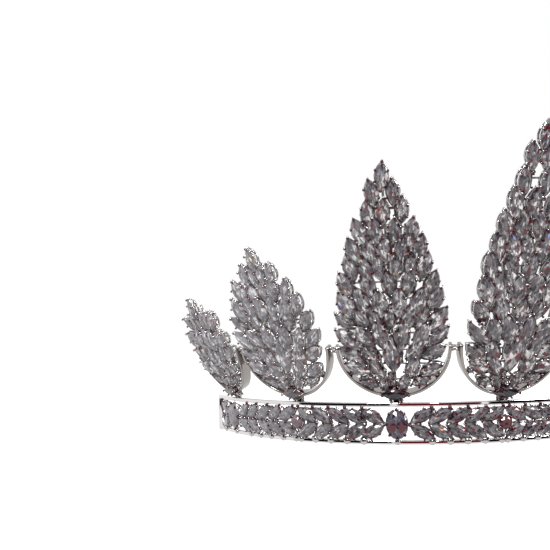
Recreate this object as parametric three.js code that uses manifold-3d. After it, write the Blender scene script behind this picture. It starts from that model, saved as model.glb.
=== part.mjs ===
// Open-back jewelled tiara crown. Millimetres, +Z up, front of the crown faces -Y.
// The band stands on the z = 0 plane and its ring axis is the Z axis.
import * as THREE from 'three';
import Module from 'manifold-3d';

const wasm = await Module();
wasm.setup();

// ---- real sizes -----------------------------------------------------------
const BAND = {
  radius: 75,        // outer radius at the top rail
  taper: 1.6,        // the bottom rail sits this much further in
  height: 12.5,
  railHeight: 1.3,
  railDepth: 2.6,
  halfAngle: 86,     // the band is open at the back beyond this angle
  segments: 40,
};
const SPIRE = {
  spacing: 25,       // degrees between neighbours
  baseInset: 3.4,    // the lean starts this far inside the band's outer radius
  lean: 26.6,        // degrees outwards from vertical
  rimRadius: 16.7,   // half width of every spire
  rimCentre: 19,     // distance along the lean of the widest point
  rimWall: 0.9,
  rimDepth: 3.6,
  clearance: 0.35,
};
// length: along the lean; rows: stone rows above the widest bowl row; gem: stone scale
const SPIRES = [
  { length: 38.5, rows: 3, gem: 0.92 },
  { length: 52.8, rows: 6, gem: 0.96 },
  { length: 74.6, rows: 10, gem: 0.96 },
  { length: 97.5, rows: 12, gem: 1.06 },
  { length: 74.6, rows: 10, gem: 0.96 },
  { length: 52.8, rows: 6, gem: 0.96 },
  { length: 38.5, rows: 3, gem: 0.92 },
];
const MARQUISE = { width: 5.0, length: 10.2 };    // spire stones with their setting
const CENTRE_GEM = { width: 6.2, length: 12.8 };  // the large stone low in each spire
// The first pair's place and the pitch between pairs are in degrees.
const BAND_GEM = { width: 3.6, length: 8.0, tilt: 30, pairs: 5, first: 5.7, pitch: 4.1 };
const OVAL_GEM = { width: 7.0, length: 9.1 };
const ROUND_GEM = { width: 4.8, length: 4.8 };

const metal = new THREE.MeshStandardMaterial({ color: 0xc9c6c6, roughness: 0.12, metalness: 1 });
const settingMetal = new THREE.MeshStandardMaterial({ color: 0xb4b0b4, roughness: 0.2, metalness: 1 });
const stone = new THREE.MeshStandardMaterial({ color: 0x8d868f, roughness: 0.06, metalness: 0.1 });

// ---- small helpers --------------------------------------------------------
const rad = (d) => (d * Math.PI) / 180;
const V = (x, y, z) => new THREE.Vector3(x, y, z);
// A local frame: an origin and the across, along and out directions.
const frameOf = (origin, across, along) => ({
  origin, across, along, out: new THREE.Vector3().crossVectors(across, along),
});
const place = (f, u, s, n) => f.origin.clone()
  .addScaledVector(f.across, u).addScaledVector(f.along, s).addScaledVector(f.out, n);

// A closed solid through rings of points, with flat caps.
function loft(rings) {
  const n = rings[0].length;
  const points = rings.flat();
  const tris = [];
  for (let r = 0; r + 1 < rings.length; r++) {
    for (let i = 0; i < n; i++) {
      const a = r * n + i, b = r * n + ((i + 1) % n);
      tris.push([a, b, a + n], [b, b + n, a + n]);
    }
  }
  const last = (rings.length - 1) * n;
  for (let i = 1; i + 1 < n; i++) tris.push([0, i + 1, i], [last, last + i, last + i + 1]);
  let volume = 0;
  for (const [a, b, c] of tris) volume += points[a].dot(V(0, 0, 0).crossVectors(points[b], points[c]));
  if (volume < 0) tris.forEach((t) => t.reverse());
  return new wasm.Manifold(new wasm.Mesh({
    numProp: 3,
    vertProperties: new Float32Array(points.flatMap((p) => [p.x, p.y, p.z])),
    triVerts: new Uint32Array(tris.flat()),
  }));
}

// One body from overlapping solids; a stray sliver left by the join is dropped.
function fuse(solids) {
  const joined = solids.slice(1).reduce((a, b) => a.add(b), solids[0]);
  const bodies = joined.simplify(0.03).decompose();
  bodies.sort((a, b) => b.volume() - a.volume());
  if (bodies.slice(1).some((b) => b.volume() > 0.05)) throw new Error('solids do not touch');
  return bodies[0];
}

function meshOf(name, solid, material) {
  const m = solid.getMesh();
  const flat = new THREE.BufferGeometry();
  flat.setAttribute('position', new THREE.BufferAttribute(new Float32Array(m.vertProperties), 3));
  flat.setIndex([...m.triVerts]);
  const geometry = flat.toNonIndexed();
  geometry.computeVertexNormals();
  const mesh = new THREE.Mesh(geometry, material);
  mesh.name = name;
  return mesh;
}

// A cut stone: pointed for a marquise, full for an oval or a round.
const ringOf = (count) => Array.from({ length: count }, (_, i) => [
  0.5 * Math.sin((2 * Math.PI * (i + 0.5)) / count),
  0.5 * Math.cos((2 * Math.PI * (i + 0.5)) / count)]);
const OUTLINES = {
  marquise: [[0, -0.5], [0.47, -0.16], [0.47, 0.16], [0, 0.5], [-0.47, 0.16], [-0.47, -0.16]],
  full: ringOf(10),
};
function gem(frame, u, s, n, size, tilt, outline, height) {
  const c = Math.cos(tilt), k = Math.sin(tilt);
  const ring = (scale, level) => outline.map(([x, y]) => {
    const w = x * size.width * scale, l = y * size.length * scale;
    return place(frame, u + w * c + l * k, s - w * k + l * c, n + level);
  });
  return loft([ring(1, 0), ring(0.6, height)]);
}

// A row of pointed stones side by side as one solid: a section along each stone's own
// axis at its two sides and its middle, so neighbours meet at their girdles.
function stoneRow(frame, row, n0, height) {
  const sections = [];
  for (const g of row) {
    const c = Math.cos(g.tilt), k = Math.sin(g.tilt);
    for (const [x, half, level] of [[-0.43, 0.09, 0.4], [0, 0.43, 1], [0.43, 0.09, 0.4]]) {
      const w = x * g.width;
      sections.push([[-1, 0], [1, 0], [0.55, level], [-0.55, level]].map(([y, up]) => {
        const l = y * half * g.length;
        return place(frame, g.u + w * c + l * k, g.s - w * k + l * c, n0 + up * height);
      }));
    }
  }
  return loft(sections);
}

// A bar between two points of a frame: rectangular, or a three-sided wire.
function bar(frame, [u0, s0], [u1, s1], width, n0, n1, wire = false) {
  const len = Math.hypot(u1 - u0, s1 - s0);
  const pu = (-(s1 - s0) / len) * (width / 2), ps = ((u1 - u0) / len) * (width / 2);
  const section = wire ? [[1, n0], [0, n1], [-1, n0]] : [[1, n0], [1, n1], [-1, n1], [-1, n0]];
  const end = (u, s) => section.map(([k, n]) => place(frame, u + k * pu, s + k * ps, n));
  return loft([end(u0, s0), end(u1, s1)]);
}

// An arc of the band: a section swept about the ring axis between two angles.
function bandArc(from, to, outer, depth, z0, z1, segments) {
  const rings = [];
  const section = [[outer, z0], [outer, z1], [outer - depth, z1], [outer - depth, z0]];
  for (let i = 0; i <= segments; i++) {
    const a = rad(from + ((to - from) * i) / segments);
    rings.push(section.map(([r, z]) => V(r * Math.sin(a), -r * Math.cos(a), z)));
  }
  return loft(rings);
}

// The band face at an angle: origin at mid height, between the two rails.
function bandFrame(deg, radius) {
  const a = rad(deg);
  const lean = Math.atan2(BAND.taper, BAND.height);
  const radial = V(Math.sin(a), -Math.cos(a), 0);
  return frameOf(
    radial.clone().multiplyScalar(radius).setZ(BAND.height / 2),
    V(Math.cos(a), Math.sin(a), 0),
    radial.clone().multiplyScalar(Math.sin(lean)).setZ(Math.cos(lean)));
}
function spireFrame(deg) {
  const a = rad(deg), lean = rad(SPIRE.lean);
  const radial = V(Math.sin(a), -Math.cos(a), 0);
  return frameOf(
    radial.clone().multiplyScalar(BAND.radius - SPIRE.baseInset).setZ(BAND.height),
    V(Math.cos(a), Math.sin(a), 0),
    radial.clone().multiplyScalar(Math.sin(lean)).setZ(Math.cos(lean)));
}

// ---- where the spire stones go --------------------------------------------
// Half width of the flame outline at a distance along the lean.
function halfWidth(s, length) {
  const { rimRadius: w, rimCentre: c } = SPIRE;
  if (s < c) return Math.sqrt(Math.max(w * w - (c - s) * (c - s), 0));
  const t = Math.min((s - c) / (length - c), 1);
  return w * (1 - t ** 2.05) ** 1.2;
}
// A small fixed irregularity for each stone, as hand setting leaves.
const wobble = (i, k) => {
  const x = Math.sin(i * 12.9898 + k * 78.233) * 43758.5453;
  return (x - Math.floor(x)) * 2 - 1;
};
// True while a stone's tips or sides reach past the inside of the rim.
function touchesRim({ u, s, tilt, width, length }) {
  const c = Math.cos(tilt), k = Math.sin(tilt);
  const { rimRadius, rimWall, rimCentre, clearance } = SPIRE;
  return [[0, 0.5], [0, -0.5], [0.5, 0], [-0.5, 0]].some(([x, y]) => {
    const du = u + x * width * c + y * length * k;
    const ds = s - x * width * k + y * length * c - rimCentre;
    return ds < 0.4 && Math.hypot(du, ds) > rimRadius - rimWall - clearance;
  });
}
// Rows of stones from the bowl to the tip, fanned out from a point low in the spire.
function stonesOf({ length, rows, gem: scale }) {
  const bowl = [{ s: 7.4, count: 4, small: 0.64 }, { s: 12.2, count: 4, small: 0.84, split: 0.2 }];
  const start = 17, shrink = 0.2, top = length - (MARQUISE.length * scale * (1 - shrink)) / 2;
  for (let j = 0; j <= rows; j++) {
    const s = start + ((top - start) * j) / rows;
    const odd = (rows - j) % 2 === 0 ? 1 : 0;
    const w = halfWidth(s, length);
    const small = scale * (1 - (shrink * j) / rows);
    const fit = (2 * w) / (MARQUISE.width * small * (1 + (0.22 * w) / SPIRE.rimRadius));
    const count = j === rows ? 1 : Math.max(2 * Math.floor((fit - odd) / 2 + 0.6) + odd, 1);
    bowl.push({ s, count, small, big: j === 0 });
  }
  const out = [];
  bowl.forEach(({ s, count, small, big = false, split = 0 }, row) => {
    const reach = s < SPIRE.rimCentre ? SPIRE.rimRadius - SPIRE.rimWall - SPIRE.clearance : 0;
    const edge = reach
      ? Math.sqrt(Math.max(reach * reach - (SPIRE.rimCentre - s) ** 2, 0))
      : halfWidth(s, length);
    // Smaller stones where the full size would crowd the row.
    const share = count > 1 ? (2 * edge) / (MARQUISE.width * small * (count - 0.2)) : 1;
    const size = small * Math.min(Math.max(share, 0.8), 1);
    const w = MARQUISE.width * size, l = MARQUISE.length * size;
    for (let j = 0; j < count; j++) {
      const even = count === 1 ? 0 : (2 * j) / (count - 1) - 1;
      const side = Math.sign(even) * split + even * (1 - split);
      const fan = Math.min(Math.atan2(Math.abs(side) * edge, Math.max(s - 7, 1)),
        rad(58) * Math.abs(side));
      const room = edge - (l / 2) * Math.sin(fan) * 0.8 - (w / 2) * Math.cos(fan) * 0.75;
      const u = side * Math.max(room, w * 0.5);
      const id = row * 11 + j;
      const centre = big && side === 0;
      const g = {
        u: u + (side ? 0.25 * wobble(id, 1) : 0), s: s + 0.3 * wobble(id, 2), row,
        tilt: Math.sign(side) * fan + (side ? 0.07 * wobble(id, 3) : 0),
        width: centre ? CENTRE_GEM.width * scale : w,
        length: centre ? CENTRE_GEM.length * scale : l,
      };
      for (let i = 0; i < 40 && touchesRim(g); i++) {
        g.u *= 0.98;
        g.s += 0.05;
      }
      out.push(g);
    }
  });
  return out;
}

// ---- one spire ------------------------------------------------------------
function spireParts(index) {
  const spec = SPIRES[index];
  const deg = (index - 3) * SPIRE.spacing;
  const f = spireFrame(deg);
  const name = `spire_${index + 1}`;
  const { rimRadius, rimCentre, rimWall, rimDepth } = SPIRE;
  const half = rimDepth / 2;

  // The rim: a flat strip bent to a half circle, open upwards.
  const rimRings = [];
  const steps = 14;
  for (let i = 0; i <= steps; i++) {
    const t = Math.PI * (1 + i / steps);
    rimRings.push([[rimRadius, -half], [rimRadius, half],
      [rimRadius - rimWall, half], [rimRadius - rimWall, -half]]
      .map(([r, n]) => place(f, r * Math.cos(t), rimCentre + r * Math.sin(t), n)));
  }
  const rim = meshOf(`${name}_rim`, loft(rimRings), metal);

  // The stone field: cut stones on row wires and one long spine.
  const mirror = index > 3 ? -1 : 1;   // the right half mirrors the left
  const stones = stonesOf(spec).map((g) => ({ ...g, u: mirror * g.u, tilt: mirror * g.tilt }));
  const solids = [];
  const rows = new Map();
  for (const g of stones) {
    if (!rows.has(g.row)) rows.set(g.row, []);
    rows.get(g.row).push(g);
  }
  const tipS = stones[stones.length - 1].s;
  const foot = { width: 3.4, length: 8 };
  solids.push(bar(f, [0, 4.9], [0, tipS], 1.3, 0.0, 1.1));
  solids.push(gem(f, 0, 2.7, 2.1, foot, Math.PI / 2, OUTLINES.marquise, 1.5));
  solids.push(bar(f, [0, 2.9], [0, 5.9], 1.6, 2.1, 2.75));
  solids.push(bar(f, [0, 6.27], [0, 5.13], 0.97, 0.47, 2.46));
  const ribs = [bar(f, [0, 5.2], [0, tipS - 1], 1.4, -1.6, -0.4)];
  for (const row of rows.values()) {
    row.sort((a, b) => a.u - b.u);
    solids.push(stoneRow(f, row, 0.3, 2.6));
    if (row.length < 2) continue;
    const reach = row[row.length - 1].u * 0.96;
    const s = row.reduce((sum, g) => sum + g.s, 0) / row.length;
    ribs.push(bar(f, [-reach, s], [reach, s], 1.4, -1.5, -0.5, true));
  }
  const field = meshOf(`${name}_stones`, fuse(solids), stone);
  const frame = meshOf(`${name}_frame`, fuse(ribs), settingMetal);

  // The post that carries the spire on the band's top rail.
  const post = meshOf(`${name}_post`, fuse([
    bar(f, [-1.5, 1.0], [-1.5, 1.95], 1.0, -1.1, 1.1),
    bar(f, [1.5, 1.0], [1.5, 1.95], 1.0, -1.1, 1.1),
    bar(f, [-1.7, 1.4], [1.7, 1.4], 0.6, -0.9, 0.9),
  ]), metal);
  return [rim, frame, field, post];
}

// ---- the band -------------------------------------------------------------
function band() {
  const { radius, taper, height, railHeight, railDepth, halfAngle, segments } = BAND;
  const parts = [
    meshOf('band_top_rail', bandArc(-halfAngle, halfAngle, radius, railDepth,
      height - railHeight, height, segments), metal),
    meshOf('band_bottom_rail', bandArc(-halfAngle, halfAngle, radius - taper, railDepth,
      0, railHeight, segments), metal),
  ];
  const face = radius - taper / 2 - 1.6;
  // Single stones under each spire: ovals under every other one, rounds between.
  for (let i = 0; i < SPIRES.length; i++) {
    const oval = i % 2 === 0;
    const f = bandFrame((i - 3) * SPIRE.spacing, face);
    const size = oval ? OVAL_GEM : ROUND_GEM;
    const solids = [
      gem(f, 0, 0, 0.2, size, 0, OUTLINES.full, 2.2),
      bar(f, [-size.width * 0.34, 0], [size.width * 0.34, 0], 1.2, -0.9, 0.6),
    ];
    // A stem from the setting to each rail.
    solids.push(bar(f, [0, -4.85], [0, 4.85], 0.9, -0.9, 0.5));
    parts.push(meshOf(`band_${oval ? 'oval' : 'round'}_${i + 1}`, fuse(solids), stone));
  }
  // Chevron pairs of marquises between the single stones, pointing at the ovals.
  const chevrons = (name, degs, dir) => {
    const solids = [];
    const rise = (BAND_GEM.length / 2) * Math.sin(rad(BAND_GEM.tilt)) + 0.35;
    const run = (BAND_GEM.length / 2) * Math.cos(rad(BAND_GEM.tilt));
    const lean = rad(90 - BAND_GEM.tilt);
    for (const deg of degs) {
      const f = bandFrame(deg, face);
      for (const k of [-1, 1]) {
        solids.push(gem(f, 0, k * rise, 0.2, BAND_GEM, k * dir * lean, OUTLINES.marquise, 1.9));
      }
    }
    const back = (run * 0.85 * 180) / (Math.PI * face);
    const ends = [degs[0] - dir * back, degs[degs.length - 1] - dir * back];
    solids.push(bandArc(Math.min(...ends) - 0.35, Math.max(...ends) + 0.35, face + 0.9, 1.4,
      height / 2 - 1.1, height / 2 + 1.1, degs.length));
    parts.push(meshOf(name, fuse(solids), stone));
  };
  for (let i = 0; i + 1 < SPIRES.length; i++) {
    const oval = i % 2 === 0 ? i : i + 1;
    const dir = i % 2 === 0 ? 1 : -1;   // away from the oval
    const from = (oval - 3) * SPIRE.spacing;
    const degs = Array.from({ length: BAND_GEM.pairs }, (_, k) =>
      from + dir * (BAND_GEM.first + k * BAND_GEM.pitch));
    chevrons(`band_chevrons_${i + 1}${i + 2}`, degs, dir);
  }
  // One more pair beyond each outer oval, ahead of the end plate.
  const outer = 3 * SPIRE.spacing + BAND_GEM.first;
  chevrons('band_chevrons_left', [-outer], -1);
  chevrons('band_chevrons_right', [outer], 1);
  return parts;
}

// ---- assembly -------------------------------------------------------------
const group = new THREE.Group();
group.name = 'crown';
band().forEach((m) => group.add(m));
SPIRES.forEach((_, i) => spireParts(i).forEach((m) => group.add(m)));

// Link bars join the rim ends of neighbouring spires.
const rimEnd = (index, side, n) => {
  const f = spireFrame((index - 3) * SPIRE.spacing);
  return place(f, side * (SPIRE.rimRadius + 0.3), SPIRE.rimCentre - 1.2, n);
};
for (let i = 0; i + 1 < SPIRES.length; i++) {
  const ring = (index, side) => {
    const f = spireFrame((index - 3) * SPIRE.spacing);
    const c = rimEnd(index, side, 0);
    return [[-1, -1], [-1, 1], [1, 1], [1, -1]].map(([a, b]) =>
      c.clone().addScaledVector(f.along, 0.6 * a).addScaledVector(f.out, 0.9 * b));
  };
  group.add(meshOf(`link_bar_${i + 1}${i + 2}`, loft([ring(i, 1), ring(i + 1, -1)]), metal));
}

// End plates close the band at the back, each with a loop for a hair pin.
for (const [side, tag] of [[-1, 'left'], [1, 'right']]) {
  const end = BAND.halfAngle;
  const from = side * (end + 0.25), to = side * (end + 1.6);
  const lo = Math.min(from, to), hi = Math.max(from, to);
  group.add(meshOf(`band_end_plate_${tag}`,
    bandArc(lo, hi, BAND.radius - 0.2, 2.4, 0, BAND.height, 2), metal));
  const f = bandFrame(side * (end + 1.85), BAND.radius - 1.4);
  const rings = [];
  const count = 12;
  const tube = (t) => [[1, 1], [1, -1], [-1, -1], [-1, 1]].map(([a, b]) => place(f,
    side * (0.6 + 2.6 * Math.sin(t)) + side * 0.45 * a * Math.sin(t),
    (3.2 + 0.45 * a) * Math.cos(t), 0.5 * b));
  for (let i = 0; i <= count; i++) rings.push(tube((Math.PI * i) / count));
  group.add(meshOf(`band_end_loop_${tag}`, fuse([
    loft(rings),
    bar(f, [side * 0.5, -3.6], [side * 0.5, 3.6], 0.8, -0.5, 0.5),
  ]), metal));
}

// The origin is under the middle of the whole crown, at the level it stands on.
const box = new THREE.Box3().setFromObject(group);
group.position.y = -(box.min.y + box.max.y) / 2;

export default group;
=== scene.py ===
"""Jewelled open-back tiara crown: cut stones in claw settings on a polished plated frame."""

import math

import bpy
from mathutils import Matrix, Vector


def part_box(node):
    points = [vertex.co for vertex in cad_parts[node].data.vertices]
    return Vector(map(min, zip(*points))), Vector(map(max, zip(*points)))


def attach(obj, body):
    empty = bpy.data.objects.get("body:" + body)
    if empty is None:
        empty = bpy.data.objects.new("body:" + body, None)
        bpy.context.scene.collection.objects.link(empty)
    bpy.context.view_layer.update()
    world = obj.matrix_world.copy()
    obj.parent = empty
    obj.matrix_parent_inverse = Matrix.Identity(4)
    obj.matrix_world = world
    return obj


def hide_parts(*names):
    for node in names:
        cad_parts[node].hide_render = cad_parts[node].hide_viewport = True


MM = 0.001

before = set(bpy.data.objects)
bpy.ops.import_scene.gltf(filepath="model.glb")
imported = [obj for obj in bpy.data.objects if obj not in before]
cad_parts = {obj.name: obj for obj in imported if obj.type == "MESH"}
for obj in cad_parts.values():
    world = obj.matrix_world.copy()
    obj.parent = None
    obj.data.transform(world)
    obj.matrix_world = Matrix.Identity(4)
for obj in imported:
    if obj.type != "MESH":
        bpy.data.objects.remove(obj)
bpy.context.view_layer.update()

# ---- real sizes, in millimetres ----------------------------------------------
BAND_RADIUS = 75.0
BAND_TAPER = 1.6
BAND_HEIGHT = 12.5
RAIL_HEIGHT = 1.3
RAIL_DEPTH = 2.6
BAND_END = 86.0  # degrees each side of the front
SPACING = 25.0  # degrees between spires
BASE_INSET = 3.4
LEAN = math.radians(26.6)
RIM_RADIUS = 16.7
RIM_CENTRE = 19.0
RIM_WALL = 0.9
RIM_DEPTH = 3.6
# length along the lean, rows of stones above the bowl, stone scale
SPIRES = [
    (38.5, 3, 0.92),
    (52.8, 6, 0.96),
    (74.6, 10, 0.96),
    (97.5, 12, 1.06),
    (74.6, 10, 0.96),
    (52.8, 6, 0.96),
    (38.5, 3, 0.92),
]
MARQUISE = (5.0, 10.2)
CENTRE_GEM = (6.2, 12.8)
SHRINK = 0.2  # how much smaller the tip stone is
BAND_GEM_LENGTH = 8.0
BAND_TILT = math.radians(30)
BAND_PAIRS = 5
BAND_PITCH = 4.1  # degrees between pairs
FIRST_PAIR = 5.7  # degrees from the oval to the first pair
OVAL_CUT = (6.4, 8.8)
ROUND_CUT = (4.3, 4.3)
CHEVRON_CUT = (3.7, 7.9)
FOOT_CUT = (3.4, 7.6)
GAP_CUT = (2.1, 2.1)
GAP_SPACING = 2.3  # between the small round stones' middles, and between their rings
GAP_MARGIN = 0.35
BOWL_MARGIN = 0.35  # kept free between the bowl's stones and the rim

# The ring's axis: the top rail's front edge lies one radius ahead of it.
AXIS_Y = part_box("band_top_rail")[0][1] / MM + BAND_RADIUS


# ---- camera, first ------------------------------------------------------------
def add_camera():
    """A 51 mm lens ahead of the crown, a little to its left and just above the band."""
    turn = math.radians(22.23)
    yaw, pitch, roll = -0.1646, 0.0838, -0.0228
    distance, rise = 309.0, 19.1
    fwd = Vector((math.sin(yaw) * math.cos(pitch), math.cos(yaw) * math.cos(pitch), math.sin(pitch)))
    right = Vector((math.cos(yaw), -math.sin(yaw), 0))
    up = right.cross(fwd)
    right, up = (
        right * math.cos(roll) + up * math.sin(roll),
        up * math.cos(roll) - right * math.sin(roll),
    )
    spin = Matrix.Rotation(-turn, 3, "Z")
    axes = [spin @ v for v in (right, up, -fwd)]
    m = Matrix((axes[0], axes[1], axes[2])).transposed().to_4x4()
    place = spin @ Vector((0, -distance, 0)) + Vector((0, AXIS_Y, BAND_HEIGHT + rise))
    m.translation = place * MM
    data = bpy.data.cameras.new("camera")
    data.lens = 50.9
    data.sensor_width = 36
    data.clip_start = 0.01
    cam = bpy.data.objects.new("camera", data)
    bpy.context.collection.objects.link(cam)
    cam.matrix_world = m
    bpy.context.scene.camera = cam


add_camera()


# ---- mesh building --------------------------------------------------------------
class Shape:
    """Points in millimetres and faces, gathered from many small pieces."""

    def __init__(self):
        self.points, self.faces, self.smooth, self.cut, self.kinds = [], [], [], [], []
        self.kind = 0  # which of the piece's materials the next faces take

    def add(self, points, faces, smooth=False, cut=None):
        base = len(self.points)
        self.kinds += [self.kind] * len(faces)
        self.points += points
        self.cut += cut or [(0, 0, 0)] * len(points)
        self.faces += [[base + i for i in f] for f in faces]
        self.smooth += [smooth] * len(faces)

    def tube(self, path, radii, sides=6, closed=False, up=None):
        """A round wire along points; radii is one number or one for each point."""
        n = len(path)
        if not isinstance(radii, (list, tuple)):
            radii = [radii] * n
        points, faces = [], []
        for i, p in enumerate(path):
            a = path[i - 1] if i or closed else path[0]
            b = path[(i + 1) % n] if i + 1 < n or closed else path[-1]
            t = (b - a).normalized()
            side = t.cross(up if up is not None else Vector((0.31, 0.17, 0.93)))
            side.normalize()
            other = side.cross(t)
            for k in range(sides):
                w = 2 * math.pi * k / sides
                points.append(p + (side * math.cos(w) + other * math.sin(w)) * radii[i])
        for i in range(n if closed else n - 1):
            j = (i + 1) % n
            for k in range(sides):
                m = (k + 1) % sides
                faces.append([i * sides + k, j * sides + k, j * sides + m, i * sides + m])
        if not closed:
            faces.append(list(range(sides)))
            faces.append([(n - 1) * sides + k for k in reversed(range(sides))])
        self.add(points, faces, True)

    def sweep(self, sections):
        """Skin through rings of points that all have the same count, closed at both ends."""
        n, k = len(sections), len(sections[0])
        faces = []
        for i in range(n - 1):
            j = i + 1
            faces += [[i * k + a, i * k + (a + 1) % k, j * k + (a + 1) % k, j * k + a] for a in range(k)]
        faces += [list(reversed(range(k))), [(n - 1) * k + a for a in range(k)]]
        self.add([p for s in sections for p in s], faces, True)

    def ball(self, centre, radius, out, flat=0.75):
        """A small rounded bead, a little flattened along out."""
        side = out.orthogonal().normalized()
        other = out.cross(side)
        rings, sides = 4, 8
        points = [centre - out * radius * flat]
        for r in range(1, rings):
            a = math.pi * r / rings
            for k in range(sides):
                w = 2 * math.pi * k / sides
                points.append(
                    centre
                    + (side * math.cos(w) + other * math.sin(w)) * radius * math.sin(a)
                    - out * radius * flat * math.cos(a)
                )
        points.append(centre + out * radius * flat)
        faces = [[0, 1 + (k + 1) % sides, 1 + k] for k in range(sides)]
        for r in range(rings - 2):
            for k in range(sides):
                a, b = 1 + r * sides + k, 1 + r * sides + (k + 1) % sides
                faces.append([a, b, b + sides, a + sides])
        last, top = 1 + (rings - 2) * sides, len(points) - 1
        faces += [[last + k, last + (k + 1) % sides, top] for k in range(sides)]
        self.add(points, faces, True)

    def build(self, name, materials, replaces=(), slot=None):
        mesh = bpy.data.meshes.new(name)
        mesh.from_pydata([tuple(p * MM) for p in self.points], [], self.faces)
        mesh.polygons.foreach_set("use_smooth", self.smooth)
        if any(any(c) for c in self.cut):
            # Each stone's own coordinates, so that the material can follow its cut.
            local = mesh.attributes.new("cut", "FLOAT_VECTOR", "POINT")
            local.data.foreach_set("vector", [x for c in self.cut for x in c])
        for material in materials:
            mesh.materials.append(material)
        mesh.polygons.foreach_set("material_index", self.kinds)
        mesh.update()
        ob = bpy.data.objects.new(name, mesh)
        bpy.context.collection.objects.link(ob)
        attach(ob, "root")
        if replaces:
            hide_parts(*replaces)
        return ob


class Seat:
    """A local frame: across, along and out directions at an origin, in millimetres."""

    def __init__(self, origin, across, along):
        self.origin, self.across, self.along = origin, across, along
        self.out = across.cross(along)

    def at(self, u, s, n):
        return self.origin + self.across * u + self.along * s + self.out * n

    def turned(self, u, s, n, tilt, roll=0.0, nod=0.0):
        """A seat on this one, its along axis turned by tilt and its face rolled and nodded."""
        along = self.along * math.cos(tilt) + self.across * math.sin(tilt)
        m = Matrix.Rotation(roll, 3, self.along) @ Matrix.Rotation(nod, 3, self.across)
        across = (along.cross(self.out)).normalized()
        return Seat(self.at(u, s, n), m @ across, m @ along)


def radial(deg):
    a = math.radians(deg)
    return Vector((math.sin(a), -math.cos(a), 0)), Vector((math.cos(a), math.sin(a), 0))


def leaning_seat(deg, radius, z, lean):
    out, across = radial(deg)
    along = out * math.sin(lean) + Vector((0, 0, math.cos(lean)))
    return Seat(out * radius + Vector((0, AXIS_Y, z)), across, along)


def spire_seat(deg):
    return leaning_seat(deg, BAND_RADIUS - BASE_INSET, BAND_HEIGHT, LEAN)


def band_seat(deg):
    lean = math.atan2(BAND_TAPER, BAND_HEIGHT)
    return leaning_seat(deg, BAND_RADIUS - BAND_TAPER / 2 - 1.3, BAND_HEIGHT / 2, lean)


def wobble(i, k):
    """A small fixed irregularity, the same each run."""
    x = math.sin(i * 12.9898 + k * 78.233) * 43758.5453
    return (x - math.floor(x)) * 2 - 1


# ---- materials --------------------------------------------------------------------
class Nodes:
    """Short calls for building one node material."""

    def __init__(self, name):
        self.mat = bpy.data.materials.new(name)
        self.mat.use_nodes = True
        self.tree = self.mat.node_tree
        self.shader = self.tree.nodes["Principled BSDF"]

    def node(self, kind, **settings):
        n = self.tree.nodes.new(kind)
        for key, value in settings.items():
            setattr(n, key, value)
        return n

    def feed(self, target, value):
        if isinstance(value, bpy.types.NodeSocket):
            self.tree.links.new(value, target)
        else:
            target.default_value = value

    def maths(self, operation, *values):
        n = self.node("ShaderNodeMath", operation=operation)
        for socket, value in zip(n.inputs, values):
            self.feed(socket, value)
        return n.outputs[0]

    def ramp(self, factor, stops, mode="LINEAR"):
        n = self.node("ShaderNodeValToRGB")
        n.color_ramp.interpolation = mode
        while len(n.color_ramp.elements) < len(stops):
            n.color_ramp.elements.new(0.5)
        for element, (at, colour) in zip(n.color_ramp.elements, stops):
            element.position, element.color = at, (*colour, 1)
        self.feed(n.inputs[0], factor)
        return n.outputs[0]

    def mix(self, factor, a, b):
        n = self.node("ShaderNodeMix", data_type="RGBA")
        for socket, value in zip((n.inputs[0], n.inputs[6], n.inputs[7]), (factor, a, b)):
            self.feed(socket, value)
        return n.outputs[2]

    def noise(self, scale, detail=3, vector=None):
        n = self.node("ShaderNodeTexNoise")
        n.inputs["Scale"].default_value = scale
        n.inputs["Detail"].default_value = detail
        if vector is None:
            vector = self.node("ShaderNodeTexCoord").outputs["Object"]
        self.feed(n.inputs["Vector"], vector)
        return n.outputs["Fac"]

    def bump(self, height, strength, distance):
        n = self.node("ShaderNodeBump")
        n.inputs["Strength"].default_value = strength
        n.inputs["Distance"].default_value = distance
        self.feed(n.inputs["Height"], height)
        self.feed(self.shader.inputs["Normal"], n.outputs[0])


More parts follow.
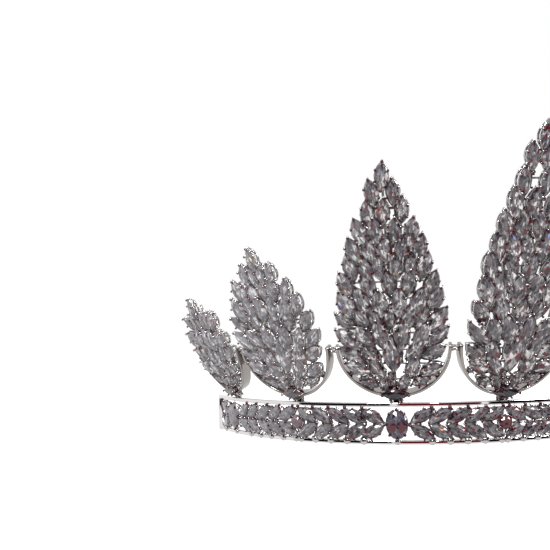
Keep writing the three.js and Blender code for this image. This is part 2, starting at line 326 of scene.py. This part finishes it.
def crystal(name, shade=1.0, wine_reach=0.85, front_tint=(0.98, 0.96, 0.97)):
    """Cut stones with their reflections painted into the base colour: a painted shade for each facet and for
    the shards seen inside, with painted wine-red reflections in bow ties.
    """
    m = Nodes(name)
    geometry = m.node("ShaderNodeNewGeometry")
    cut = m.node("ShaderNodeAttribute", attribute_name="cut").outputs["Vector"]
    split = m.node("ShaderNodeSeparateXYZ")
    m.feed(split.inputs[0], cut)
    across, along, seed = split.outputs
    facet = m.node("ShaderNodeTexWhiteNoise", noise_dimensions="4D")
    m.feed(facet.inputs["Vector"], geometry.outputs["True Normal"])
    m.feed(facet.inputs["W"], seed)
    shards = m.node("ShaderNodeTexVoronoi", voronoi_dimensions="4D", distance="MANHATTAN")
    scaled = m.node("ShaderNodeVectorMath", operation="MULTIPLY")
    m.feed(scaled.inputs[0], cut)
    scaled.inputs[1].default_value = (2.4, 3.2, 0)
    m.feed(shards.inputs["Vector"], scaled.outputs[0])
    m.feed(shards.inputs["W"], seed)
    shards.inputs["Scale"].default_value = 1.0
    shard = m.node("ShaderNodeSeparateColor")
    m.feed(shard.inputs[0], shards.outputs["Color"])
    level = m.maths(
        "ADD",
        m.maths("MULTIPLY", facet.outputs["Value"], 0.5),
        m.maths("MULTIPLY", shard.outputs[0], 0.5),
    )
    # Painted reflections: the lower half of a stone shows more contrast than the upper half.
    spread = m.maths("MULTIPLY_ADD", along, -0.22, 1.0)
    level = m.maths("MULTIPLY_ADD", m.maths("SUBTRACT", level, 0.5), spread, 0.5)
    level = m.maths("MULTIPLY", level, shade)
    # Painted reflections and highlights: each facet and shard gets a shade from near black to near white.
    painted_reflection_grey = m.ramp(
        level,
        [
            (0.0, (0.004, 0.003, 0.005)),
            (0.24, (0.012, 0.010, 0.014)),
            (0.34, (0.07, 0.063, 0.072)),
            (0.6, (0.13, 0.12, 0.131)),
            (0.72, (0.24, 0.235, 0.235)),
            (0.84, (0.66, 0.655, 0.63)),
        ],
    )
    # Painted wine-red reflections either side of the waist, almost gone on the outer spires; with a long
    # reach they fill the round stone in its own ruby colour.
    place = m.node("ShaderNodeSeparateXYZ")
    m.feed(place.inputs[0], m.node("ShaderNodeTexCoord").outputs["Object"])
    outer = m.maths("MULTIPLY", m.maths("SUBTRACT", m.maths("ABSOLUTE", place.outputs[0]), 0.04), 30.0)
    outer = m.maths("MINIMUM", m.maths("MAXIMUM", outer, 0.0), 1.0)
    random = m.node("ShaderNodeTexWhiteNoise", noise_dimensions="1D")
    m.feed(random.inputs["W"], seed)
    side = m.maths("MULTIPLY", m.maths("SUBTRACT", m.maths("ABSOLUTE", across), 0.5), 3.4)
    waist = m.maths("MULTIPLY", m.maths("ADD", along, m.maths("MULTIPLY", random.outputs[0], 0.5)), 3.0)
    bow = m.maths("ADD", m.maths("POWER", side, 2.0), m.maths("POWER", waist, 2.0))
    wine = m.maths("LESS_THAN", m.maths("ADD", bow, m.maths("MULTIPLY", shard.outputs[1], 1.6)), wine_reach)
    stray = m.maths("GREATER_THAN", shard.outputs[1], 0.97)
    wine = m.maths("MAXIMUM", wine, stray)
    wine = m.maths("MULTIPLY", wine, m.maths("MULTIPLY_ADD", outer, -0.95, 1.0))
    coloured = m.mix(wine, painted_reflection_grey, (0.085, 0.008, 0.014, 1))
    # Painted coloured sparks of fire on a few shards.
    glint = m.maths("MULTIPLY", facet.outputs["Value"], 0.4)
    spark = m.maths("GREATER_THAN", m.maths("ADD", shard.outputs[2], glint), 1.36)
    hue = m.ramp(
        shard.outputs[0],
        [(0.0, (1.0, 0.7, 0.2)), (0.35, (1.0, 0.35, 0.12)), (0.6, (0.2, 0.28, 0.9)), (0.9, (0.25, 0.8, 0.5))],
        "CONSTANT",
    )
    sparkled = m.mix(spark, coloured, hue)
    # Painted light: the outer stones are lighter and bluer, as they reflect less of the dark front.
    tint = m.mix(outer, (*front_tint, 1), (1.42, 1.45, 1.52, 1))
    both = m.node("ShaderNodeMix", data_type="RGBA", blend_type="MULTIPLY")
    for socket, value in zip((both.inputs[0], both.inputs[6], both.inputs[7]), (1.0, sparkled, tint)):
        m.feed(socket, value)
    # Painted reflections: the outer spires are softer, with less contrast.
    calm = m.mix(m.maths("MULTIPLY", outer, 0.35), both.outputs[2], (0.32, 0.31, 0.32, 1))
    m.feed(m.shader.inputs["Base Color"], calm)
    m.shader.inputs["Roughness"].default_value = 0.03
    m.shader.inputs["IOR"].default_value = 1.6
    return m.mat


def plated(name, colour, rough, grain=0.0):
    """Plated metal: polished, with a faint uneven film and fine handling marks."""
    m = Nodes(name)
    film = m.noise(90, 4)
    m.feed(
        m.shader.inputs["Base Color"],
        m.ramp(film, [(0.3, tuple(c * 0.9 for c in colour)), (0.7, colour)]),
    )
    marks = m.noise(900, 5)
    m.feed(m.shader.inputs["Roughness"], m.maths("MULTIPLY_ADD", marks, rough, rough * 0.5))
    m.shader.inputs["Metallic"].default_value = 1.0
    if grain:
        m.bump(m.noise(1400, 3), grain, 0.00005)
    return m.mat


CRYSTAL = crystal("cut_crystal")
# The band's stones: painted darker, as they reflect the dark front, and with less painted wine red.
BAND_CRYSTAL = crystal("band_crystal", shade=0.8, wine_reach=0.55)
# The oval: lilac in tone, with its painted reflections darker.
OVAL = crystal("oval_crystal", shade=0.74, wine_reach=2.2, front_tint=(0.66, 0.64, 0.82))
# The foot stone, painted near black as a dark reflection.
FOOT_DARK_REFLECTION = crystal("foot_crystal", shade=0.42, wine_reach=0.2)
WINE = crystal("round_crystal", shade=0.85, wine_reach=20.0, front_tint=(0.62, 0.7, 0.8))
RAIL = plated("rail_metal", (0.78, 0.76, 0.76), 0.06)
RIM = plated("rim_metal", (0.36, 0.335, 0.325), 0.16, 0.12)
CLAW = plated("claw_metal", (0.56, 0.54, 0.54), 0.1, 0.1)
# Painted reflections on the claw beads: dark wine red near the middle, softer on the outer spires.
DARK_REFLECTION_METAL = plated("claw_painted_dark_reflection", (0.10, 0.045, 0.05), 0.2)
SOFT_REFLECTION_METAL = plated("outer_claw_painted_reflection", (0.28, 0.20, 0.20), 0.2)


# ---- one cut stone and its claw setting -------------------------------------------
def outline(pointed, width, length, count=16):
    """The girdle's points from the lower tip round; pointed for a marquise, else an ellipse."""
    points = []
    for i in range(count):
        t = 2 * math.pi * i / count
        y = -math.cos(t)
        if not pointed:
            x = math.sin(t)
        elif i % (count // 2):
            x = math.copysign((1 - y * y) ** 0.92, math.sin(t))
        else:
            x = 0.0
        points.append((x * width / 2, y * length / 2))
    return points


def cut_stone(shape, seat, width, length, pointed=True, crown=None, depth=None, seed=0):
    """A brilliant cut: table, star, bezel and girdle facets above, a pavilion below."""
    crown = crown or 0.2 * width
    depth = depth or 0.42 * width
    girdle = outline(pointed, width, length)
    n = len(girdle)
    half = n // 2

    def ring(indices, scale, level):
        return [seat.at(girdle[i % n][0] * scale, girdle[i % n][1] * scale, level) for i in indices]

    odd, even = range(1, n, 2), range(0, n, 2)
    upper = ring(range(n), 1.0, 0.06 * width * 0.4)
    lower = ring(range(n), 1.0, -0.06 * width * 0.4)
    bezel = ring(odd, 0.84, crown * 0.58)
    table = ring(even, 0.6, crown)
    inner = [
        seat.at(girdle[i][0] * 0.3, girdle[i][1] * 0.3, crown + 0.05 * wobble(seed * 17 + i, 5) * width * 0.2)
        for i in even
    ]
    middle = [seat.at(0, 0, crown - 0.01 * width)]
    pavilion = ring(odd, 0.55, -depth * 0.5)
    culet = [seat.at(0, 0, -depth)]
    points = upper + lower + bezel + table + inner + middle + pavilion + culet
    cut = []
    for p in points:
        d = p - seat.origin
        cut.append((2 * d.dot(seat.across) / width, 2 * d.dot(seat.along) / length, seed * 0.37 + 0.1))
    U, L, B = 0, n, 2 * n
    T, I, M = B + half, B + 2 * half, B + 3 * half
    P, C = M + 1, M + 1 + half
    faces = []
    for i in range(half):
        j = (i + 1) % half
        e, o, x = 2 * i, 2 * i + 1, (2 * i + 2) % n
        faces.append([T + i, T + j, B + i][::-1])
        faces += [[B + i, U + e, U + o][::-1], [B + i, U + o, U + x][::-1]]
        faces.append([T + i, B + i, U + e, B + (i - 1) % half][::-1])
        faces.append([I + i, I + j, T + j, T + i][::-1])
        faces.append([M, I + j, I + i][::-1])
        faces += [[P + i, L + o, L + e][::-1], [P + i, L + x, L + o][::-1]]
        faces.append([C, P + (i - 1) % half, L + e, P + i])
    for i in range(n):
        j = (i + 1) % n
        faces.append([U + i, L + i, L + j, U + j][::-1])
    flip = seat.across.cross(seat.along).dot(seat.out) > 0
    shape.add(points, [f[::-1] for f in faces] if flip else faces, cut=cut)


def setting(shape, seat, width, length, pointed=True, claws=4, depth=2.6, wire=0.24):
    """A claw cup: two outline wires joined by claws whose tips fold over the stone."""
    girdle = outline(pointed, width, length)
    n = len(girdle)
    plain = shape.kind
    for scale, level, radius in ((1.0, -0.35, wire), (0.72, -depth, wire * 1.9)):
        path = [seat.at(x * scale, y * scale, level) for x, y in girdle]
        shape.tube(path, radius, 5, closed=True, up=seat.out)
    if claws == 4:
        places = [i * n // 8 * 2 + n // 8 for i in range(4)] if not pointed else [3, 5, 11, 13]
    else:
        places = [round(i * n / claws) % n for i in range(claws)]
    if pointed:
        places = [0, n // 2] + places
    for i in places:
        x, y = girdle[i]
        tip = pointed and i in (0, n // 2)
        reach = 0.62 / max(math.hypot(x, y), 0.1)
        path = [
            seat.at(x * 0.72, y * 0.72, -depth),
            seat.at(x * (1 + reach * 0.3), y * (1 + reach * 0.3), -0.8),
            seat.at(x * (1 + reach * 0.25), y * (1 + reach * 0.25), 0.2),
        ]
        thick = wire * (1.5 if tip else 1.3)
        shape.tube(path, [wire, thick, thick], 6)
        # Each claw's bead takes the piece's second material, a painted dark reflection.
        shape.kind = 1
        shape.ball(seat.at(x * (1 + reach * 0.1), y * (1 + reach * 0.1), 0.5), thick * 1.45, seat.out)
        shape.kind = plain


# ---- where the spire stones go ------------------------------------------------------
def half_width(s, length):
    if s < RIM_CENTRE:
        return math.sqrt(max(RIM_RADIUS**2 - (RIM_CENTRE - s) ** 2, 0))
    t = min((s - RIM_CENTRE) / (length - RIM_CENTRE), 1)
    return RIM_RADIUS * (1 - t**2.05) ** 1.2


def touches_rim(g):
    c, k = math.cos(g["tilt"]), math.sin(g["tilt"])
    for x, y in ((0, 0.5), (0, -0.5), (0.5, 0), (-0.5, 0)):
        du = g["u"] + x * g["width"] * c + y * g["length"] * k
        ds = g["s"] - x * g["width"] * k + y * g["length"] * c - RIM_CENTRE
        if ds < 0.4 and math.hypot(du, ds) > RIM_RADIUS - RIM_WALL - 0.2:
            return True
    return False


def stones_of(length, rows, scale):
    """Rows of stones from the bowl to the tip, fanned out from a point low in the spire."""
    plan = [(7.4, 4, 0.64, 0.0, False), (12.2, 4, 0.84, 0.2, False)]
    start, top = 17.0, length - MARQUISE[1] * scale * (1 - SHRINK) / 2
    for j in range(rows + 1):
        s = start + (top - start) * j / rows
        odd = 1 if (rows - j) % 2 == 0 else 0
        w = half_width(s, length)
        small = scale * (1 - SHRINK * j / rows)
        fit = 2 * w / (MARQUISE[0] * small * (1 + 0.22 * w / RIM_RADIUS))
        count = 1 if j == rows else max(2 * math.floor((fit - odd) / 2 + 0.6) + odd, 1)
        plan.append((s, count, small, 0.0, j == 0))
    stones = []
    for row, (s, count, small, split, big) in enumerate(plan):
        reach = RIM_RADIUS - RIM_WALL - BOWL_MARGIN
        if s < RIM_CENTRE:
            edge = math.sqrt(max(reach**2 - (RIM_CENTRE - s) ** 2, 0))
        else:
            edge = half_width(s, length)
        share = 2 * edge / (MARQUISE[0] * small * (count - 0.2)) if count > 1 else 1
        size = small * min(max(share, 0.8), 1)
        w, l = MARQUISE[0] * size, MARQUISE[1] * size
        for j in range(count):
            even = 0 if count == 1 else 2 * j / (count - 1) - 1
            sign = (even > 0) - (even < 0)
            side = sign * split + even * (1 - split)
            fan = min(math.atan2(abs(side) * edge, max(s - 7, 1)), math.radians(58) * abs(side))
            room = edge - l / 2 * math.sin(fan) * 0.8 - w / 2 * math.cos(fan) * 0.75
            seed = row * 11 + j
            centre = big and side == 0
            g = {
                "u": side * max(room, w * 0.5) + (0.25 * wobble(seed, 1) if side else 0),
                "s": s + 0.3 * wobble(seed, 2),
                "tilt": sign * fan + (0.07 * wobble(seed, 3) if side else 0),
                "width": (CENTRE_GEM[0] * scale) if centre else w,
                "length": (CENTRE_GEM[1] * scale) if centre else l,
                "row": row,
                "edge": side,
                "seed": seed,
            }
            for _ in range(40):
                if not touches_rim(g):
                    break
                g["u"] *= 0.98
                g["s"] += 0.05
            stones.append(g)
    return stones


def gap_stones(stones):
    """Places of the small round stones in the bowl's gaps, ring by ring in from the rim."""
    found = []
    for ring in range(3):
        reach = RIM_RADIUS - RIM_WALL - 1.35 - GAP_SPACING * ring
        for step in range(38):
            t = math.radians(196 + 4 * step)
            u, s = reach * math.cos(t), RIM_CENTRE + reach * math.sin(t)
            if any(math.hypot(u - a, s - b) < GAP_SPACING for a, b in found):
                continue
            if not any(covers(g, u, s) for g in stones):
                found.append((u, s))
    return found


def covers(g, u, s):
    """Whether a stone and a margin round it reach a place."""
    du, ds = u - g["u"], s - g["s"]
    across = du * math.cos(g["tilt"]) - ds * math.sin(g["tilt"])
    along = du * math.sin(g["tilt"]) + ds * math.cos(g["tilt"])
    across /= g["width"] / 2 + GAP_MARGIN
    along /= g["length"] / 2 + GAP_MARGIN
    return across**2 + along**2 < 1


# ---- spires ---------------------------------------------------------------------------
def rounded_section(a0, a1, b0, b1, r, steps=3):
    """A rounded rectangle as (a, b) pairs."""
    points = []
    corners = ((a1 - r, b1 - r, 0), (a0 + r, b1 - r, 90), (a0 + r, b0 + r, 180), (a1 - r, b0 + r, 270))
    for ca, cb, start in corners:
        for i in range(steps + 1):
            t = math.radians(start + 90 * i / steps)
            points.append((ca + r * math.cos(t), cb + r * math.sin(t)))
    return points


def build_spire(index):
    length, rows, scale = SPIRES[index]
    seat = spire_seat((index - 3) * SPACING)
    name = f"spire_{index + 1}"
    mirror = -1 if index > 3 else 1

    rim = Shape()
    section = rounded_section(RIM_RADIUS - RIM_WALL, RIM_RADIUS, -RIM_DEPTH / 2, RIM_DEPTH / 2, 0.28)
    steps = 72
    rings = []
    for i in range(steps + 1):
        t = math.pi * (1 + i / steps)
        taper = 1 - 0.35 * max(0, abs(i / steps * 2 - 1) - 0.86) / 0.14
        rings.append([seat.at(r * math.cos(t), RIM_CENTRE + r * math.sin(t), n * taper) for r, n in section])
    rim.sweep(rings)
    rim.build(f"{name}_rim_strip", [RIM], [f"{name}_rim"], "polished_metal")

    gems, cups = Shape(), Shape()
    stones = stones_of(length, rows, scale)
    for g in stones:
        u, tilt = mirror * g["u"], mirror * g["tilt"]
        lift = 1.6 + 0.5 * (g["row"] % 2) + 0.45 * wobble(g["seed"], 7)
        loose = 0.0 if g["edge"] == 0 and g["row"] == 2 else 1.0
        spot = seat.turned(
            u + 0.35 * loose * wobble(g["seed"], 11),
            g["s"] + 0.5 * loose * wobble(g["seed"], 12),
            lift,
            tilt + 0.12 * loose * wobble(g["seed"], 13),
            roll=math.radians(-9) * mirror * g["edge"] + 0.2 * wobble(g["seed"], 8),
            nod=0.16 * wobble(g["seed"], 9),
        )
        w, l = g["width"] * 0.99, g["length"] * 1.0
        cut_stone(gems, spot, w, l, seed=g["seed"] + 100 * index)
        setting(cups, spot, w, l, wire=0.2, depth=2.0)
    for seed, (u, s) in enumerate(gap_stones(stones)):
        spot = seat.turned(mirror * u, s, 0.5 + 0.2 * wobble(seed, 3), 0, roll=0.15 * wobble(seed, 4))
        cut_stone(gems, spot, *GAP_CUT, pointed=False, crown=0.45, depth=0.85, seed=seed + 50)
        setting(cups, spot, *GAP_CUT, pointed=False, depth=1.0, wire=0.15)
    # The stone lying across the foot of the spire, in front of the rim; it and its cup are painted dark as a
    # reflection of the dark front.
    foot = seat.turned(0, 4.0, 3.0, math.pi / 2)
    gems.kind = 1
    cut_stone(gems, foot, *FOOT_CUT, seed=7)
    cups.kind = 1
    setting(cups, foot, *FOOT_CUT, wire=0.2, depth=2.0)
    cups.kind = 0
    gems.build(f"{name}_cut_stones", [CRYSTAL, FOOT_DARK_REFLECTION], [f"{name}_stones"], "cut_crystal")

    # Gallery wires behind the cups: a spine and one rib for each row.
    by_row = {}
    for g in stones:
        by_row.setdefault(g["row"], []).append(g)
    tip = max(g["s"] for g in stones)
    cups.tube([seat.at(0, 3.4 + (tip - 3.4) * i / 12, -1.2) for i in range(13)], 0.45, 6)
    for row in by_row.values():
        if len(row) > 1:
            a, b = row[0], row[-1]
            cups.tube(
                [
                    seat.at(
                        mirror * (a["u"] + (b["u"] - a["u"]) * i / 8),
                        a["s"] + (b["s"] - a["s"]) * i / 8,
                        -1.0,
                    )
                    for i in range(9)
                ],
                0.32,
                5,
            )
    # Claw beads painted with a dark wine reflection, softer on the outer spires.
    claw_reflection_paint = DARK_REFLECTION_METAL if abs(index - 3) < 2 else SOFT_REFLECTION_METAL
    cups.build(f"{name}_settings", [CLAW, claw_reflection_paint], [f"{name}_frame"], "setting_metal")

    post = Shape()
    for side in (-1, 1):
        prong = [(1.0, 2.35, 0.5), (1.7, 1.5, 0.8), (1.4, 0.35, 0.6)]
        post.tube([seat.at(side * u, s, n) for u, s, n in prong], 0.42, 8)
        post.ball(seat.at(side * 1.75, 1.1, 1.0), 0.55, seat.out)
    block = rounded_section(-1.0, 1.0, -1.1, 0.9, 0.3)
    post.sweep([[seat.at(x, s, n) for x, n in block] for s in (0.3, 1.0, 2.2)])
    post.build(f"{name}_bracket", [CLAW], [f"{name}_post"], "polished_metal")


for spire in range(len(SPIRES)):
    build_spire(spire)


# ---- band --------------------------------------------------------------------------------
def build_rail(name, outer, z0, z1, node):
    rail = Shape()
    section = rounded_section(outer - RAIL_DEPTH, outer, z0, z1, 0.3)
    steps = 200
    rings = []
    for i in range(steps + 1):
        out, _ = radial(-BAND_END + 2 * BAND_END * i / steps)
        rings.append([out * r + Vector((0, AXIS_Y, z)) for r, z in section])
    rail.sweep(rings)
    rail.build(name, [RAIL], [node], "polished_metal")


build_rail("top_rail_strip", BAND_RADIUS, BAND_HEIGHT - RAIL_HEIGHT, BAND_HEIGHT, "band_top_rail")
build_rail("bottom_rail_strip", BAND_RADIUS - BAND_TAPER, 0.0, RAIL_HEIGHT, "band_bottom_rail")


def band_single(index):
    oval = index % 2 == 0
    seat = band_seat((index - 3) * SPACING)
    spot = seat.turned(0, 0, 1.4, 0)
    gems, cups = Shape(), Shape()
    if oval:
        cut_stone(gems, spot, *OVAL_CUT, pointed=False, crown=1.3, depth=2.6, seed=index)
        setting(cups, spot, *OVAL_CUT, pointed=False, claws=8, depth=2.6, wire=0.24)
        cups.ball(seat.at(0, -5.3, 1.25), 1.0, seat.out, 0.45)
        node = f"band_oval_{index + 1}"
    else:
        gems.kind = 1
        cut_stone(gems, spot, *ROUND_CUT, pointed=False, crown=0.9, depth=1.8, seed=index)
        setting(cups, spot, *ROUND_CUT, pointed=False, claws=4, depth=2.0, wire=0.24)
        cups.tube([seat.at(0, -4.9, -0.2), seat.at(0, 0, -1.0), seat.at(0, 4.9, -0.2)], 0.4, 6)
        node = f"band_round_{index + 1}"
    gems.build(f"{node}_stone", [OVAL, WINE], [node], "cut_crystal")
    # Its claw beads take the painted dark reflection.
    cups.build(f"{node}_cup", [CLAW, DARK_REFLECTION_METAL], (), "setting_metal")


for spire in range(len(SPIRES)):
    band_single(spire)


def chevrons(node, degs, away):
    """Marquise pairs that meet at mid height and open away from the oval."""
    gems, cups = Shape(), Shape()
    rise = BAND_GEM_LENGTH / 2 * math.sin(BAND_TILT) + 0.35
    run = BAND_GEM_LENGTH / 2 * math.cos(BAND_TILT)
    for count, deg in enumerate(degs):
        seat = band_seat(deg)
        for k in (-1, 1):
            seed = count * 5 + k + round(abs(deg)) * 3
            spot = seat.turned(
                0.12 * wobble(seed, 1),
                k * rise,
                1.2 + 0.12 * wobble(seed, 2),
                k * away * (math.pi / 2 - BAND_TILT) + 0.05 * wobble(seed, 3),
                roll=0.1 * wobble(seed, 4),
                nod=0.08 * wobble(seed, 5),
            )
            cut_stone(gems, spot, *CHEVRON_CUT, seed=seed)
            setting(cups, spot, *CHEVRON_CUT, wire=0.17, depth=2.2)
            # A hook under the top rail, painted with the dark reflection of the claw beads, and a light tab
            # over the bottom rail.
            if k > 0:
                cups.kind = 1
                cups.ball(seat.at(away * run * 0.8, 5.0, 1.5), 0.6, seat.out)
                cups.kind = 0
            else:
                cups.ball(seat.at(away * run * 0.8, -5.2, 1.25), 1.15, seat.out, 0.45)
    gems.build(f"{node}_stones", [BAND_CRYSTAL], [node], "cut_crystal")
    cups.build(f"{node}_cups", [CLAW, DARK_REFLECTION_METAL], (), "setting_metal")


for spire in range(len(SPIRES) - 1):
    oval = spire if spire % 2 == 0 else spire + 1
    away = 1 if spire % 2 == 0 else -1
    start = (oval - 3) * SPACING
    chevrons(
        f"band_chevrons_{spire + 1}{spire + 2}",
        [start + away * (FIRST_PAIR + k * BAND_PITCH) for k in range(BAND_PAIRS)],
        away,
    )
chevrons("band_chevrons_left", [-(3 * SPACING + FIRST_PAIR)], -1)
chevrons("band_chevrons_right", [3 * SPACING + FIRST_PAIR], 1)


# ---- link bars, end plates and loops -----------------------------------------------------
def link_bar(index):
    ends = []
    for i, side in ((index, 1), (index + 1, -1)):
        seat = spire_seat((i - 3) * SPACING)
        ends.append(seat.at(side * (RIM_RADIUS - 0.1), RIM_CENTRE - 1.2, 0))
    seat = spire_seat((index - 2.5) * SPACING)
    bar = Shape()
    for lift in (-0.55, 0.55):
        path = [ends[0].lerp(ends[1], t) + seat.along * lift for t in (0, 0.25, 0.5, 0.75, 1)]
        bar.tube(path, [0.6, 0.45, 0.4, 0.45, 0.6], 8, up=seat.out)
    bar.build(f"link_{index + 1}{index + 2}", [RIM], [f"link_bar_{index + 1}{index + 2}"], "polished_metal")


for spire in range(len(SPIRES) - 1):
    link_bar(spire)


def band_end(side, tag):
    plate, loop = Shape(), Shape()
    rings = []
    for i in range(9):
        out, _ = radial(side * (BAND_END + 0.2 + 1.4 * i / 8))
        section = rounded_section(BAND_RADIUS - 2.6, BAND_RADIUS - 0.2, 0.0, BAND_HEIGHT, 0.5)
        rings.append([out * r + Vector((0, AXIS_Y, z)) for r, z in section])
    plate.sweep(rings)
    plate.build(f"end_cap_{tag}", [RAIL], [f"band_end_plate_{tag}"], "polished_metal")
    seat = leaning_seat(
        side * (BAND_END + 1.85), BAND_RADIUS - 1.4, BAND_HEIGHT / 2, math.atan2(BAND_TAPER, BAND_HEIGHT)
    )
    path = [
        seat.at(side * (0.3 + 2.7 * math.sin(math.pi * i / 20)), 3.1 * math.cos(math.pi * i / 20), 0)
        for i in range(21)
    ]
    loop.tube(path, 0.42, 8, up=seat.out)
    loop.build(f"end_eye_{tag}", [CLAW], [f"band_end_loop_{tag}"], "polished_metal")


band_end(-1, "left")
band_end(1, "right")


# ---- studio ----------------------------------------------------------------------------------
def add_world():
    """Plain white all round."""
    world = bpy.data.worlds.new("studio")
    world.use_nodes = True
    world.node_tree.nodes["Background"].inputs["Color"].default_value = (1, 1, 1, 1)
    bpy.context.scene.world = world


def add_floor():
    """A plain pale floor, so bright that only a faint shadow shows on it."""
    m = Nodes("floor")
    m.feed(m.shader.inputs["Base Color"], m.mix(m.noise(2.0), (0.62, 0.62, 0.62, 1), (0.58, 0.58, 0.58, 1)))
    m.shader.inputs["Roughness"].default_value = 0.9
    m.shader.inputs["Emission Color"].default_value = (1, 1, 1, 1)
    m.shader.inputs["Emission Strength"].default_value = 0.78
    reach = 2.0
    mesh = bpy.data.meshes.new("floor")
    corners = [(-reach, -reach), (reach, -reach), (reach, reach), (-reach, reach)]
    mesh.from_pydata([(x, y, -0.0005) for x, y in corners], [], [[0, 1, 2, 3]])
    mesh.materials.append(m.mat)
    floor = bpy.data.objects.new("floor", mesh)
    bpy.context.collection.objects.link(floor)
    # The crown's own light comes from the studio alone, so the floor doesn't show in its stones.
    floor.visible_glossy = floor.visible_diffuse = floor.visible_shadow = False


def add_card(name, start, end, colour):
    """A curved dark card ahead of the crown that only shows as a reflection; degrees from front."""
    m = Nodes(name)
    m.feed(m.shader.inputs["Base Color"], m.mix(m.noise(3.0), (*colour, 1), (*[c * 0.6 for c in colour], 1)))
    m.shader.inputs["Roughness"].default_value = 1.0
    m.shader.inputs["Specular IOR Level"].default_value = 0.0
    distance, low, high = 1.2, -0.34, 0.5
    points, steps = [], 24
    for i in range(steps + 1):
        out, _ = radial(start + (end - start) * i / steps)
        points += [(*(out * distance).xy, low), (*(out * distance).xy, high)]
    mesh = bpy.data.meshes.new(name)
    mesh.from_pydata(points, [], [[2 * i, 2 * i + 1, 2 * i + 3, 2 * i + 2] for i in range(steps)])
    mesh.materials.append(m.mat)
    card = bpy.data.objects.new(name, mesh)
    bpy.context.collection.objects.link(card)
    card.visible_camera = False


def add_lamp(name, place, aim, size, power):
    data = bpy.data.lights.new(name, "AREA")
    data.size, data.energy = size, power
    lamp = bpy.data.objects.new(name, data)
    bpy.context.collection.objects.link(lamp)
    lamp.location = Vector(place)
    lamp.rotation_euler = (Vector(aim) - Vector(place)).to_track_quat("-Z", "Y").to_euler()


add_world()
add_floor()
add_card("dark_card_left", -84, -33, (0.008, 0.008, 0.009))
add_card("wine_card", -29, 15, (0.16, 0.012, 0.02))
add_card("dark_card_right", 19, 84, (0.008, 0.008, 0.009))
add_lamp("key", (-0.5, -0.6, 0.7), (0, 0, 0.05), 0.25, 9)
add_lamp("fill", (0.6, -0.5, 0.35), (0, 0, 0.05), 0.3, 5)
add_lamp("spark", (-0.15, -0.9, 0.5), (0, 0, 0.05), 0.06, 3)

bpy.context.scene.view_settings.view_transform = "Standard"
